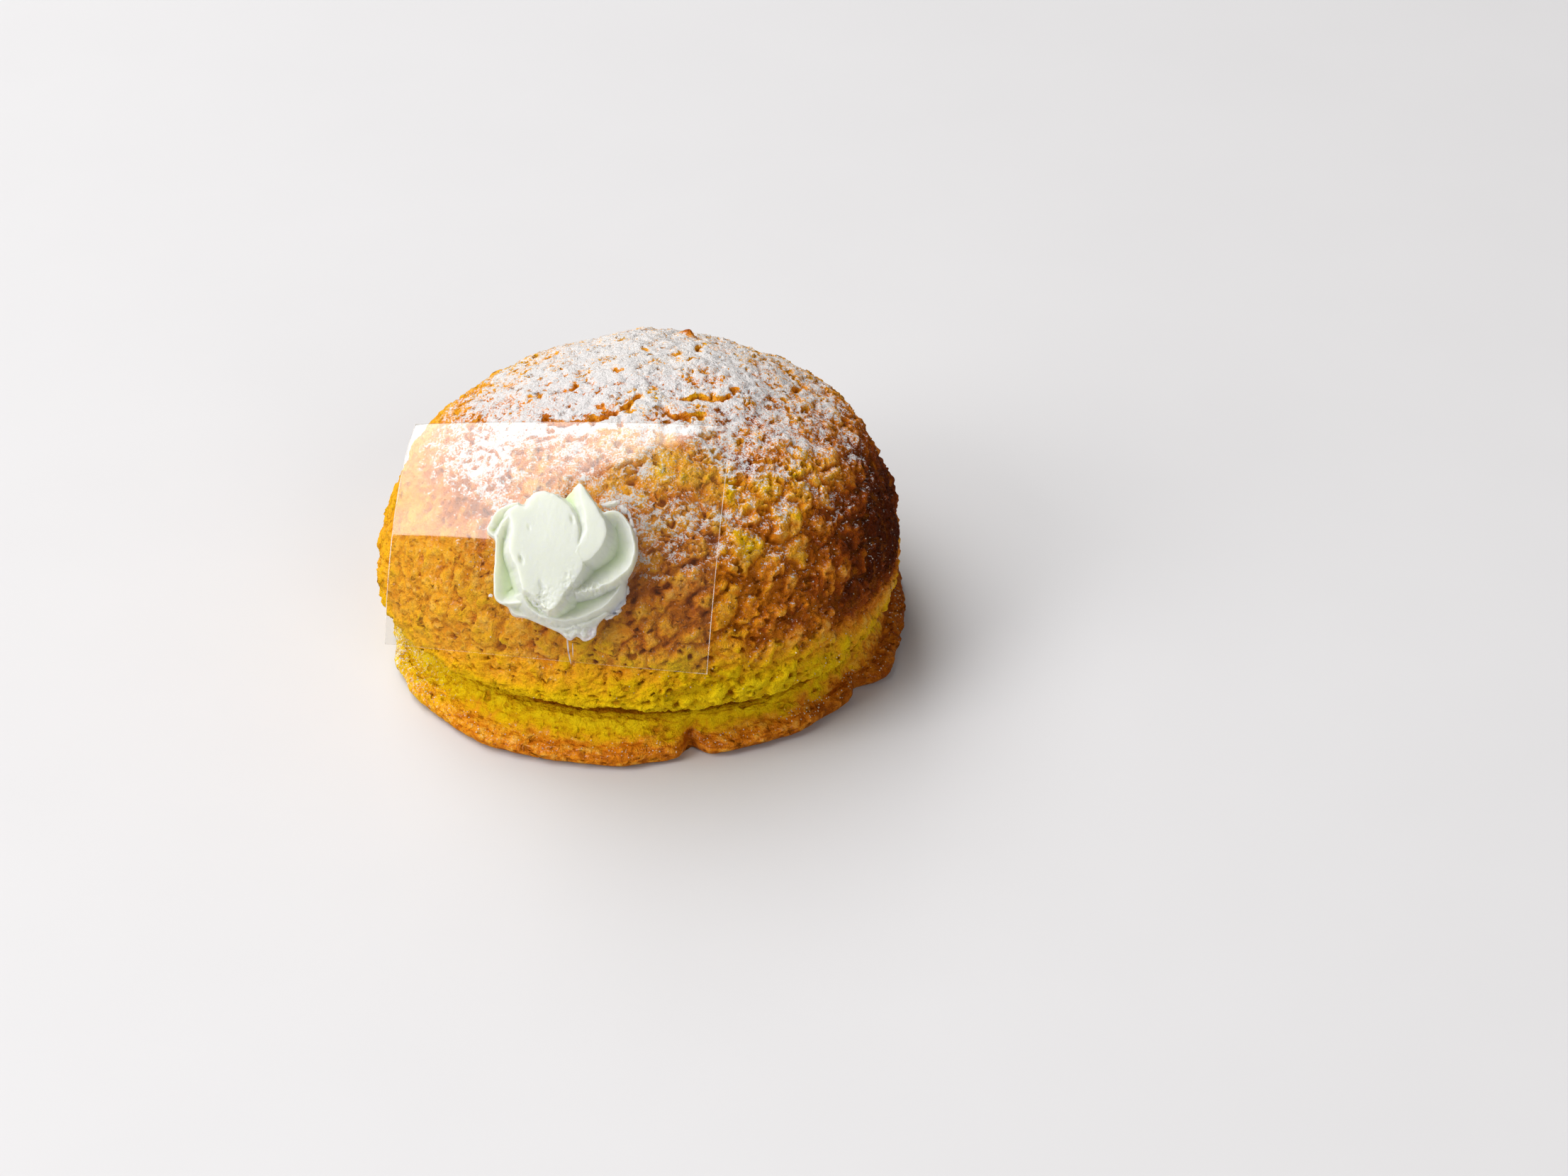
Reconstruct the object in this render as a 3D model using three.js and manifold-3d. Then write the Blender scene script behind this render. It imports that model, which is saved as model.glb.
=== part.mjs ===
// Melon pan bun: a baked dome on a thin spread brim, a clear stiff sheet leant over its front,
// and a piped cream rosette that passes through the sheet. Millimetres, +Z up.
// The origin is at the middle of the flat base, on the dome's axis. The front is -Y.
import * as THREE from 'three';
import { mergeVertices } from 'three/addons/utils/BufferGeometryUtils.js';
import Module from 'manifold-3d';

const wasm = await Module();
wasm.setup();

// Driving dimensions
const dome = {
  radius: 55.5, bellyHeight: 14.6, rise: 44.8, fullness: 2.15, undercut: 7.8, tuck: 32, unevenness: 0.35,
};
const crease = { radius: 46, height: 9 };
const brim = { radius: 55.5, thickness: 4.4, height: 7, offset: [-1.6, 2.5], inset: 4 };
const sheet = {
  width: 64.3, height: 52.6, thickness: 0.3,
  centre: new THREE.Vector3(-16, -40.1, 47.1),
  lean: 42.1, roll: -1.4, turn: -5.4,
  bendPerMm: 0.0246, bendTaper: -0.0004, slant: -2.6,
  holeRadius: 6.2,
};
const rosette = {
  onSheet: [2.3, -6.8], radius: 12.8, height: 10.5, faceRadius: 9.6, neckRadius: 5.6, neckDepth: 9,
  ridges: 8, ridgeDepth: 0.11, twist: 46, peakAngle: 78, peakReach: 3,
};
const gap = 0.3;

const bunSegments = 80;
const rosetteSegments = 64;
const sheetSegments = 72;

const radians = THREE.MathUtils.degToRad;

// Swells (+) and notches (-) of the brim's outline, in mm; 0 degrees is the front, 90 is +X.
const brimWaves = [
  { at: -82, spread: 15, reach: -3.4 },
  { at: -28, spread: 20, reach: 3 },
  { at: 13, spread: 5.5, reach: -5.4 },
  { at: 38, spread: 12, reach: 0.7 },
  { at: 57, spread: 3, reach: -2.2 },
  { at: 66, spread: 9, reach: 2 },
  { at: 112, spread: 16, reach: 1.4 },
  { at: 152, spread: 4.5, reach: -3.8 },
  { at: -158, spread: 18, reach: 2.2 },
  { at: -119, spread: 4, reach: -2.6 },
];

function angleApart(a, b) {
  return Math.abs(((a - b + 540) % 360) - 180);
}

function brimRadius(degrees) {
  const swell = (sum, wave) => sum + wave.reach * Math.exp(-((angleApart(degrees, wave.at) / wave.spread) ** 2));
  return brimWaves.reduce(swell, brim.radius);
}

// A turned solid with merged vertices, its axis along Z.
function turned(points, segments) {
  const lathe = new THREE.LatheGeometry(points.map(([r, z]) => new THREE.Vector2(r, z)), segments);
  lathe.rotateX(Math.PI / 2);
  lathe.deleteAttribute('normal');
  lathe.deleteAttribute('uv');
  return lathe;
}

// Moves each vertex of a geometry by a function of its place, then merges what meets.
function reshaped(geometry, move) {
  const places = geometry.attributes.position;
  const place = new THREE.Vector3();
  for (let i = 0; i < places.count; i += 1) {
    place.fromBufferAttribute(places, i);
    const moved = move(place);
    places.setXYZ(i, moved.x, moved.y, moved.z);
  }
  return withoutSlivers(mergeVertices(geometry, 1e-4));
}

function withoutSlivers(geometry) {
  const kept = [];
  const index = geometry.index.array;
  for (let i = 0; i < index.length; i += 3) {
    const [a, b, c] = index.slice(i, i + 3);
    if (a !== b && b !== c && c !== a) kept.push(a, b, c);
  }
  geometry.setIndex(kept);
  return geometry;
}

// Bun: flat base, thin brim with a rounded edge, crease, belly and dome.
function bunProfile(grow) {
  const domeRings = 20;
  const undercutRings = 4;
  const edgeSteps = 6;
  const foot = brim.radius - brim.inset;
  const points = [[0, -grow], [foot * 0.5, -grow], [foot, -grow]];
  for (let i = 1; i <= edgeSteps; i += 1) {
    const turn = Math.PI * (i / edgeSteps - 0.5);
    points.push([
      foot + (brim.inset + grow) * Math.cos(turn),
      (brim.thickness / 2) * (1 + Math.sin(turn)) + grow * Math.sin(turn),
    ]);
  }
  points.push([(foot + crease.radius) / 2, brim.height + grow]);
  points.push([crease.radius + grow, crease.height]);
  for (let i = undercutRings; i >= 1; i -= 1) {
    const turn = radians(dome.tuck) * (i / undercutRings);
    points.push([
      (dome.radius + grow) * Math.cos(turn),
      dome.bellyHeight - (dome.undercut + grow) * Math.sin(turn),
    ]);
  }
  for (let i = 0; i <= domeRings; i += 1) {
    const turn = (Math.PI / 2) * (i / domeRings);
    const r = dome.radius * Math.cos(turn) ** (2 / dome.fullness);
    const z = dome.rise * Math.sin(turn) ** (2 / dome.fullness);
    points.push([i === domeRings ? 0 : r + grow * Math.cos(turn), dome.bellyHeight + z + grow * Math.sin(turn)]);
  }
  return points;
}

function bunShape(place) {
  const r = Math.hypot(place.x, place.y);
  const around = THREE.MathUtils.radToDeg(Math.atan2(place.x, -place.y));
  const inBrim = 1 - THREE.MathUtils.smoothstep(place.z, brim.height, crease.height);
  const outwards = THREE.MathUtils.smoothstep(r, crease.radius, brim.radius);
  const stretch = 1 + (inBrim * outwards * (brimRadius(around) - brim.radius)) / brim.radius;
  const a = radians(around);
  const onDome = THREE.MathUtils.smoothstep(place.z, crease.height, dome.bellyHeight);
  const lumps = Math.sin(3 * a + place.z / 9) + 0.7 * Math.sin(5 * a - place.z / 6 + 2) * (r / dome.radius);
  const swell = 1 + (onDome * dome.unevenness * lumps * (r / dome.radius)) / dome.radius;
  const shift = inBrim * outwards;
  return new THREE.Vector3(
    place.x * stretch * swell + shift * brim.offset[0],
    place.y * stretch * swell + shift * brim.offset[1],
    place.z,
  );
}

function bunGeometry(grow = 0) {
  return reshaped(turned(bunProfile(grow), bunSegments), bunShape);
}

// A point of the flat sheet, x across, y up and z off its face, taken to its bent place.
const sheetPose = new THREE.Matrix4().makeRotationFromEuler(
  new THREE.Euler(radians(sheet.lean), radians(sheet.roll), radians(sheet.turn), 'XYZ'),
).setPosition(sheet.centre);

function bentPlace(x, y, z) {
  const cos = Math.cos(radians(sheet.slant));
  const sin = Math.sin(radians(sheet.slant));
  const down = -y * cos + x * sin;
  const across = x * cos + y * sin;
  const bend = sheet.bendPerMm + sheet.bendTaper * across;
  const turn = down * bend;
  const along = Math.sin(turn) / bend + z * Math.sin(turn);
  const off = -(1 - Math.cos(turn)) / bend + z * Math.cos(turn);
  const place = new THREE.Vector3(across * cos + along * sin, across * sin - along * cos, off);
  return place.applyMatrix4(sheetPose);
}

// Sheet: a rectangle around a round hole, made from a flat ring whose outer edge is squared.
function rectangleReach(angle, halfWidth, halfHeight) {
  const c = Math.abs(Math.cos(angle));
  const s = Math.abs(Math.sin(angle));
  return Math.min(halfWidth / Math.max(c, 1e-9), halfHeight / Math.max(s, 1e-9));
}

// Spoke angles from the sheet's middle, with one spoke on each corner.
function spokeAngle(turns, halfWidth, halfHeight) {
  const corner = Math.atan2(halfHeight, halfWidth);
  const marks = [-corner, corner, Math.PI - corner, Math.PI + corner, 2 * Math.PI - corner];
  const quarter = Math.min(Math.floor(turns * 4 + 1e-9), 3);
  return THREE.MathUtils.lerp(marks[quarter], marks[quarter + 1], turns * 4 - quarter);
}

function filmGeometry() {
  const half = sheet.thickness / 2;
  const rings = 7;
  const outwards = Array.from({ length: rings + 1 }, (_, i) => 1 + i / rings);
  const profile = [
    ...outwards.map((r) => [r, -half]),
    ...outwards.slice().reverse().map((r) => [r, half]),
    [1, -half],
  ];
  const [holeX, holeY] = rosette.onSheet;
  return reshaped(turned(profile, sheetSegments), (place) => {
    const angle = Math.atan2(place.y, place.x);
    const turns = (angle / (2 * Math.PI) + 1) % 1;
    const share = Math.hypot(place.x, place.y) - 1;
    const spoke = spokeAngle(turns, sheet.width / 2, sheet.height / 2);
    const reach = rectangleReach(spoke, sheet.width / 2, sheet.height / 2);
    const holeEdgeX = holeX + sheet.holeRadius * Math.cos(spoke);
    const holeEdgeY = holeY + sheet.holeRadius * Math.sin(spoke);
    const x = THREE.MathUtils.lerp(holeEdgeX, reach * Math.cos(spoke), share);
    const y = THREE.MathUtils.lerp(holeEdgeY, reach * Math.sin(spoke), share);
    return bentPlace(x, y, place.z);
  });
}

// Rosette: a swirl of leaning ridges pressed flat on top, on a neck that reaches the crust.
function rosetteProfile() {
  const under = sheet.thickness / 2 + gap;
  const { radius, height, faceRadius, neckRadius, neckDepth } = rosette;
  return [
    [0, -neckDepth], [neckRadius * 0.6, -neckDepth], [neckRadius, -neckDepth],
    [neckRadius, -neckDepth / 2], [neckRadius, under], [neckRadius + 3, under], [radius * 0.82, under],
    [radius * 0.96, under + 0.9], [radius, under + 2.4], [radius * 1.02, height * 0.42],
    [radius * 0.98, height * 0.58], [radius * 0.92, height * 0.74], [radius * 0.84, height * 0.88],
    [faceRadius, height * 0.97], [faceRadius * 0.8, height], [faceRadius * 0.4, height], [0, height],
  ];
}

function rosetteGeometry() {
  const under = sheet.thickness / 2 + gap;
  const [middleX, middleY] = rosette.onSheet;
  return reshaped(turned(rosetteProfile(), rosetteSegments), (place) => {
    const r = Math.hypot(place.x, place.y);
    const raised = THREE.MathUtils.clamp((place.z - under) / rosette.height, 0, 1);
    const angle = Math.atan2(place.y, place.x) + radians(rosette.twist) * raised;
    const outer = THREE.MathUtils.smoothstep(r, rosette.neckRadius + 1, rosette.radius);
    const ridge = rosette.ridgeDepth * outer * Math.cos(rosette.ridges * angle);
    const peak = Math.max(0, Math.cos(Math.atan2(place.y, place.x) - radians(rosette.peakAngle))) ** 10;
    const stretch = 1 + ridge + (outer * peak * rosette.peakReach) / rosette.radius;
    return bentPlace(middleX + place.x * stretch, middleY + place.y * stretch, place.z);
  });
}

function asSolid(geometry) {
  return new wasm.Manifold(new wasm.Mesh({
    numProp: 3,
    vertProperties: new Float32Array(geometry.attributes.position.array),
    triVerts: new Uint32Array(geometry.index.array),
  }));
}

function asGeometry(solid) {
  const mesh = solid.getMesh();
  const geometry = new THREE.BufferGeometry();
  geometry.setAttribute('position', new THREE.BufferAttribute(mesh.vertProperties, 3));
  geometry.setIndex(new THREE.BufferAttribute(mesh.triVerts, 1));
  return geometry;
}

function named(name, geometry, settings) {
  const mesh = new THREE.Mesh(geometry, new THREE.MeshStandardMaterial(settings));
  mesh.name = name;
  return mesh;
}

const melonPan = new THREE.Group();
melonPan.add(named('bun', bunGeometry(), { color: 0xd49a35, roughness: 0.8, metalness: 0 }));
melonPan.add(named('film', filmGeometry(), {
  color: 0xf4f6f5, roughness: 0.05, metalness: 0, transparent: true, opacity: 0.2,
}));
melonPan.add(named(
  'rosette',
  asGeometry(asSolid(rosetteGeometry()).subtract(asSolid(bunGeometry(gap)))),
  { color: 0xe6efdc, roughness: 0.5, metalness: 0 },
));

export default melonPan;
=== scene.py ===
import math

import bmesh
import bpy
import numpy as np
from mathutils import Euler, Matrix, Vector, noise


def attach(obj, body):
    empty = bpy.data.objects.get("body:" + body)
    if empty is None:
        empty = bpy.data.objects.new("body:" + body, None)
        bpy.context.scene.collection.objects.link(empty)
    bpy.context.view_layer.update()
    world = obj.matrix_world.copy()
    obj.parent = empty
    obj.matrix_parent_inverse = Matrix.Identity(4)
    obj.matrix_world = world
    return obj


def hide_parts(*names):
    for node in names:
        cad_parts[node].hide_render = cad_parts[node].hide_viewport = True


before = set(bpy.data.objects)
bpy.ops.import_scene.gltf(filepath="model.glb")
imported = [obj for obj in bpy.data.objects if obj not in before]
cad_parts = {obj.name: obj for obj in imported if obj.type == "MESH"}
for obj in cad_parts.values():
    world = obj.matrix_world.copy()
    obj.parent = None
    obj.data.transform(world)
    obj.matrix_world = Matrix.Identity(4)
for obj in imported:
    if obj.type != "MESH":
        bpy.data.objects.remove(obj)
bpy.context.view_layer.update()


# Dome: the upper part of the bun, bread dough under a rolled sheet of biscuit dough that set as
# the bread rose below it. The sheet crazed into lumps, small blown pits and a few long cracks.

# Sizes are in millimetres, and each finished mesh is scaled to metres.
metres = 0.001
dome = {"radius": 55.5, "belly": 14.6, "rise": 44.8, "fullness": 2.15, "undercut": 7.8}
dome_cuts = 199
dome_triangles = 196000
crease = {"radius": 46.0, "height": 9.0}


def smoothstep(low, high, value):
    """0 at low and 1 at high, eased between them and held past them."""
    share = np.clip((value - low) / (high - low), 0, 1)
    return share * share * (3 - 2 * share)


def shaped_mesh(name, shape):
    """Turns a finished bmesh into a mesh."""
    mesh = bpy.data.meshes.new(name)
    shape.to_mesh(mesh)
    shape.free()
    return mesh


def mesh_places(mesh):
    """The places of a mesh's points, a row for each."""
    places = np.zeros(len(mesh.vertices) * 3)
    mesh.vertices.foreach_get("co", places)
    return places.reshape(-1, 3)


def even_ball(name, cuts):
    """A closed ball of near-square faces: a cube cut into a grid, its corners eased."""
    ball = bmesh.new()
    bmesh.ops.create_cube(ball, size=2)
    bmesh.ops.subdivide_edges(ball, edges=ball.edges[:], cuts=cuts, use_grid_fill=True)
    mesh = shaped_mesh(name, ball)
    places = np.tan(mesh_places(mesh) * math.pi / 4)
    return mesh, places / np.linalg.norm(places, axis=1)[:, None]


def along_outline(outline, weights, share):
    """Radius and height where a share of the turned outline's weighted area lies above."""
    outline = np.array(outline)
    steps = np.linalg.norm(np.diff(outline, axis=0), axis=1)
    least_ring = 0.02
    ring = (outline[1:, 0] + outline[:-1, 0]) / 2 + least_ring
    area = np.concatenate([[0], np.cumsum(steps * ring * np.array(weights))])
    length = np.concatenate([[0], np.cumsum(steps)])
    where = np.interp(share * area[-1], area, length)
    return np.interp(where, length, outline[:, 0]), np.interp(where, length, outline[:, 1])


def turned_place(directions, outline, weights):
    """Directions from the ball's middle taken to places on the turned outline."""
    share = (1 - np.clip(directions[:, 2], -1, 1)) / 2
    radius, height = along_outline(outline, weights, share)
    flat = np.hypot(directions[:, 0], directions[:, 1])
    flat[flat < 1e-9] = 1
    return np.stack([directions[:, 0] / flat * radius, directions[:, 1] / flat * radius, height], axis=1)


def azimuth(places):
    """Degrees round the bun: 0 is the front, 90 the right."""
    return np.degrees(np.arctan2(places[:, 0], -places[:, 1]))


def near_azimuth(turn, middle, spread):
    """1 at an azimuth, falling off to both sides of it."""
    apart = np.abs((turn - middle + 540) % 360 - 180)
    return np.exp(-((apart / spread) ** 2))


def drawn_out(places, along, stretch):
    """Places squeezed along a direction, so that a pattern on them is drawn out along it."""
    along = np.array(along) / np.linalg.norm(along)
    return places - np.outer(places @ along, along) * (1 - 1 / stretch)


def noise_field(places, size, detail, shift):
    """Perlin noise of a grain size in mm, in layers that grow finer, about -1 to 1."""
    grid = places / size + shift
    if detail == 1:
        plain_gain = 1.6
        return np.array([noise.noise(Vector(p)) for p in grid.tolist()]) * plain_gain
    fading, finer, layered_gain = 0.9, 2.1, 1.3
    layers = [noise.fractal(Vector(p), fading, finer, detail) for p in grid.tolist()]
    return np.array(layers) * layered_gain


def lump_field(places, size, shift):
    """Rounded lumps with creases between them: 1 on a crown, 0 in a crease."""
    grid = places / size + shift
    spans = np.array([noise.voronoi(Vector(p))[0][:2] for p in grid.tolist()])
    crease_reach = 0.6
    return 1 - (1 - np.clip((spans[:, 1] - spans[:, 0]) / crease_reach, 0, 1)) ** 2


def pit_field(places, spacing, widest, chance, shift, floor):
    """Depth, 0 to 1, of round pits of mixed sizes, with the share of each that is a flat floor.

    A cell of a broken grid holds one pit or none, by the chance at each place.
    """
    depth = np.zeros(len(places))
    grid = places / spacing + shift
    for i, p in enumerate(grid.tolist()):
        spans, centres = noise.voronoi(Vector(p))
        luck = (noise.cell(centres[0] * 7.3) + 1) / 2
        if luck < chance[i]:
            reach = widest * (0.4 + 0.6 * luck / chance[i]) / spacing
            share = min(max((spans[0] / reach - floor) / (1 - floor), 0), 1)
            depth[i] = 1 - share * share * (3 - 2 * share)
    return depth


def dome_height(x, y):
    """Height of the plain dome over a place."""
    share = np.minimum(np.hypot(x, y) / dome["radius"], 1)
    return dome["belly"] + dome["rise"] * (1 - share ** dome["fullness"]) ** (1 / dome["fullness"])


def dome_point(degrees, height):
    """Place on the plain dome at an azimuth and a height."""
    raised = max(height - dome["belly"], 0) / dome["rise"]
    radius = dome["radius"] * (1 - min(raised, 1) ** dome["fullness"]) ** (1 / dome["fullness"])
    turn = math.radians(degrees)
    return np.array([radius * math.sin(turn), -radius * math.cos(turn), height])


def crack_field(places, cracks, wander):
    """Depth, 0 to 1, of cracks, each a half-width and a line of x, y stops seen from above."""
    depth = np.zeros(len(places))
    for half_width, line in cracks:
        stops = [np.array([x, y, dome_height(x, y)]) for x, y in line]
        for start, end in zip(stops, stops[1:]):
            run = end - start
            offset = places + wander - start
            share = np.clip(offset @ run / (run @ run), 0, 1)
            gap = np.linalg.norm(offset - share[:, None] * run, axis=1)
            depth = np.maximum(depth, 1 - smoothstep(half_width * 0.35, half_width, gap))
    return depth


power = 2 / dome["fullness"]
over = [
    (
        dome["radius"] * max(math.sin(t), 0) ** power,
        dome["belly"] + dome["rise"] * max(math.cos(t), 0) ** power,
    )
    for t in np.linspace(0, math.pi / 2, 61)
]
under = [
    (dome["radius"] * math.cos(t), dome["belly"] - dome["undercut"] * math.sin(t))
    for t in np.linspace(0, 0.66, 20)[1:]
]
tucked = [(crease["radius"] - 1, crease["height"] - 1.5), (30, 6), (0, 6)]
dome_outline = over + under + tucked
dome_weights = [1] * (len(over) + len(under) - 1) + [0.5, 0.05, 0.05]

crust_mesh, crust_directions = even_ball("bun_dome", dome_cuts)
crust_base = turned_place(crust_directions, dome_outline, dome_weights)
turn = azimuth(crust_base)
height = crust_base[:, 2]
outwards = crust_base - np.array([0, 0, dome["belly"] - 4])
outwards[:, 2] = np.where(height > dome["belly"], outwards[:, 2] * 1.35, (height - dome["belly"]) * 2.2)
outwards /= np.linalg.norm(outwards, axis=1)[:, None]
shown = smoothstep(crease["height"] - 1, crease["height"] + 1.5, height)

# The crust is lumpiest at the front right, and smoother on the top and below the belly.
right_side = near_azimuth(turn, 45, 55)
top_share = smoothstep(38, 56, height)
low_share = 1 - smoothstep(14, 25, height)
lumpiness = (0.92 + 0.12 * right_side) * (1 - 0.35 * low_share) * (1 - 0.35 * top_share)

wander = np.stack([noise_field(crust_base, 4.5, 2, shift=s) for s in (3, 11, 27)], axis=1)
quiver = np.stack([noise_field(crust_base, 1.5, 1, shift=s) for s in (5, 19, 37)], axis=1)
sloped = drawn_out(crust_base, (0.63, 0.53, 0.57), 1.7)
swell = noise_field(crust_base, 26, 2, shift=5)
billow = noise_field(sloped + wander, 9, 2, shift=40)
lumps = lump_field(sloped + 1.2 * wander + 0.25 * quiver, 5.2, 40)
crumbs = lump_field(sloped + 0.8 * wander + 0.35 * quiver, 2.3, 71)
nubs = lump_field(crust_base + 0.3 * quiver, 1.25, 7)
grit = noise_field(crust_base, 0.85, 2, shift=90)
dents = pit_field(crust_base + wander, 5.6, 2.6, 0.5 - 0.2 * top_share, 23, 0.05)
flattened = crust_base * [1, 1, 1.4]
big_chance = 0.72 - 0.54 * top_share
big_pits = pit_field(flattened + 0.8 * quiver + 0.5 * wander, 2.6, 1.2, big_chance, 13, 0.15)
small_chance = 0.4 - 0.12 * low_share - 0.16 * top_share
small_pits = pit_field(flattened + 0.5 * quiver, 1.4, 0.66, small_chance, 57, 0.15)

# Long cracks on the top, and short slits that follow the level lines of a slow noise.
top_cracks = [
    (0.95, [(-19, -12), (-15, -13), (-9, -14), (-6, -13), (-3, -11), (-1, -7)]),
    (0.65, [(-18, -2), (-15, -2.4), (-14, -1), (-13, 3), (-12, 4.5)]),
    (1.1, [(8, -5.6), (11, -6), (14, -5.8), (18, -4.6)]),
    (0.7, [(4, -10.5), (5.5, -12.5), (8, -13.6), (10.5, -13.4), (13.5, -12.4)]),
    (0.9, [(8, 11), (11, 13), (11, 16), (12.5, 21)]),
    (0.5, [(3, -3), (5, -1.4), (6, -3.4)]),
    (0.5, [(-26, 14), (-24, 19), (-19, 22)]),
    (0.8, [(2, 33), (-4, 36), (-7, 35), (-11, 38)]),
    (0.6, [(30, 8), (33, 12), (31, 17)]),
    (0.6, [(-34, -12), (-36, -8), (-35, -4)]),
]
cracks = crack_field(crust_base, top_cracks, 1.1 * wander + 0.3 * quiver)
crosswise = drawn_out(crust_base, (1, 0.2, 0), 1.8)
level_line = np.abs(noise_field(crosswise + 0.9 * quiver, 4.6, 2, shift=210))
slit_places = smoothstep(0.12, 0.45, noise_field(crust_base, 3.6, 1, shift=230))
slits = (1 - smoothstep(0.03, 0.09, level_line)) * slit_places * smoothstep(36, 48, height)

# A flap that tore away at the front, above the crease, with a hollow below its lip.
flap_turn = 11
flap_half_width = 5.6
around = (turn - flap_turn) * math.radians(dome["radius"])
flap_line = 19.4 + 0.22 * around - 0.02 * around**2 + 0.5 * quiver[:, 2]
below_flap = height - flap_line
hollow_width = np.sqrt(np.clip(1 - (around / flap_half_width) ** 2, 0, 1))
sunk = below_flap / np.maximum(hollow_width, 0.1)
flap_hollow = smoothstep(0.25, -0.15, below_flap) * smoothstep(-3.6, -2.2, sunk)
flap_hollow *= smoothstep(0.0, 0.35, hollow_width) * (np.abs(turn) < 60)
flap_lip = near_azimuth(turn, flap_turn, 9) * np.exp(-((below_flap - 1.2) / 2.2) ** 2)

# A few deeper holes, each with its azimuth, its height and its radius.
hole_places = [
    (40, 24, 1.3), (-1.4, 26.8, 1.5), (36.5, 43, 1.3), (-31, 24.2, 1.5), (-47, 41, 1.1), (21, 14, 1.0),
]
holes = np.zeros(len(crust_base))
for at, level, wide in hole_places:
    gap = np.linalg.norm(crust_base + 0.6 * quiver - dome_point(at, level), axis=1)
    holes = np.maximum(holes, 1 - smoothstep(0.4 * wide, wide, gap))

torn = np.maximum(np.maximum(cracks, slits * 0.8), np.maximum(flap_hollow, holes))
pitted = np.maximum(big_pits, 0.75 * small_pits)
stands = lumpiness * (1.25 * (lumps - 0.6) + 0.6 * (crumbs - 0.6)) + (0.12 + 0.16 * lumpiness) * (nubs - 0.6)
depth = (
    0.8 * swell
    + lumpiness * 0.85 * billow
    + stands
    + 0.13 * grit
    - dents * (0.8 + 0.2 * right_side)
    - (1.7 * big_pits + 0.7 * small_pits) * (1 - torn)
    - 1.35 * torn
    + 0.55 * flap_lip
    - 0.25
)
# The belly is drawn in at the right, the left shoulder sinks, and a blister stands behind the top.
depth -= 2.7 * near_azimuth(turn, 78, 36) * (1 - smoothstep(18, 46, height))
shoulder = np.array([-30, 16, 51])
depth -= 2.0 * np.exp(-(np.linalg.norm(crust_base - shoulder, axis=1) / 10) ** 2)
blister = np.array([8.5, 27, dome_height(8.5, 27)])
blister_share = np.exp(-(np.linalg.norm(crust_base - blister, axis=1) / 1.6) ** 2)
depth += 1.5 * blister_share
crust_places = crust_base + outwards * (depth * (0.15 + 0.85 * shown))[:, None]
crust_places[:, 2] -= 0.35 * stands * shown
# At the front left the belly's lower edge lies a little higher than elsewhere.
crust_places[:, 2] += 1.7 * near_azimuth(turn, -20, 34) * np.exp(-((height - 13.6) / 3.2) ** 2)

# The clear sheet that leans on the front sinks the crust a little and presses its highest lumps.
sheet = {
    "width": 64.1, "height": 50.8, "thickness": 0.2, "centre": (-16, -41.2, 47.9),
    "lean": 43.0, "roll": -2.4, "turn": -5.4, "bend": 0.0207, "taper": -0.0003, "slant": 3.8,
    "curl": 0.0001, "end_curl": 0.0000088,
}
sheet_turn = np.array(Euler([math.radians(sheet[k]) for k in ("lean", "roll", "turn")], "ZYX").to_matrix())
slant_cos, slant_sin = math.cos(math.radians(sheet["slant"])), math.sin(math.radians(sheet["slant"]))


def on_the_sheet(places):
    """Places taken back to the flat sheet: x across, y up and z off its face."""
    local = (places - np.array(sheet["centre"])) @ sheet_turn
    across = local[:, 0] * slant_cos + local[:, 1] * slant_sin
    along = local[:, 0] * slant_sin - local[:, 1] * slant_cos
    bend = sheet["bend"] + sheet["taper"] * across
    off = local[:, 2] + sheet["curl"] * across**2 + sheet["end_curl"] * across**3 + 1 / bend
    down = np.arctan2(along, off) / bend
    x = across * slant_cos + down * slant_sin
    y = across * slant_sin - down * slant_cos
    return x, y, np.hypot(along, off) - 1 / bend


def poke_through(places, room, fade):
    """How far places come nearer to the sheet than the room they need, within its outline."""
    x, y, off = on_the_sheet(places)
    inside = np.minimum(sheet["width"] / 2 - np.abs(x), sheet["height"] / 2 - np.abs(y))
    return np.maximum(off + room, 0) * smoothstep(-fade, 0, inside) * (places[:, 1] < 0)


crust_places -= outwards * poke_through(crust_base, 2.2, 7)[:, None]
crust_places -= outwards * poke_through(crust_places, 0.4, 1.5)[:, None] * 1.05


def browning_and_shade_field(turn, height, places):
    """Browning, 0 yellow to 1 dark red-brown, with painted shade at the right and beside the rosette."""
    left = near_azimuth(turn, -55, 50)
    # At the right and lower right the crust is browner, partly baked and partly painted shade. The front
    # beside the rosette is darker as painted shade.
    right = near_azimuth(turn, 79, 37)
    front = near_azimuth(turn, 10, 18) * smoothstep(22, 34, height) * (1 - smoothstep(46, 54, height))
    rise = smoothstep(12.5, 26, height + 6 * left - 5 * near_azimuth(turn, 22, 34))
    low_right = near_azimuth(turn, 68, 32) * (1 - smoothstep(20, 34, height))
    right *= smoothstep(14, 32, height) * (1 - 0.75 * smoothstep(32, 50, height))
    high_left = near_azimuth(turn, -60, 45) * smoothstep(34, 46, height)
    browned_and_shaded = 0.08 + 0.34 * rise + 0.64 * right + 0.13 * front + 0.2 * high_left + 0.24 * low_right
    patchy = 0.05 + 0.13 * near_azimuth(turn, 35, 45) * smoothstep(20, 30, height)
    return browned_and_shaded + patchy * noise_field(places, 7, 3, shift=120)


def dust_field(turn, height, places):
    """How much fine sugar lies on the crust, 0 to 1, by place alone."""
    right = near_azimuth(turn, 48, 42)
    right_cover = np.interp(height, (20, 36, 43, 51, 55, 59), (0.05, 0.2, 0.33, 0.48, 0.58, 0.74))
    left_cover = np.interp(height, (34, 43, 50, 54, 58), (-0.05, 0.36, 0.6, 0.7, 0.78))
    return left_cover + (right_cover - left_cover) * right + 0.14 * noise_field(places, 5, 3, shift=150)


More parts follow.
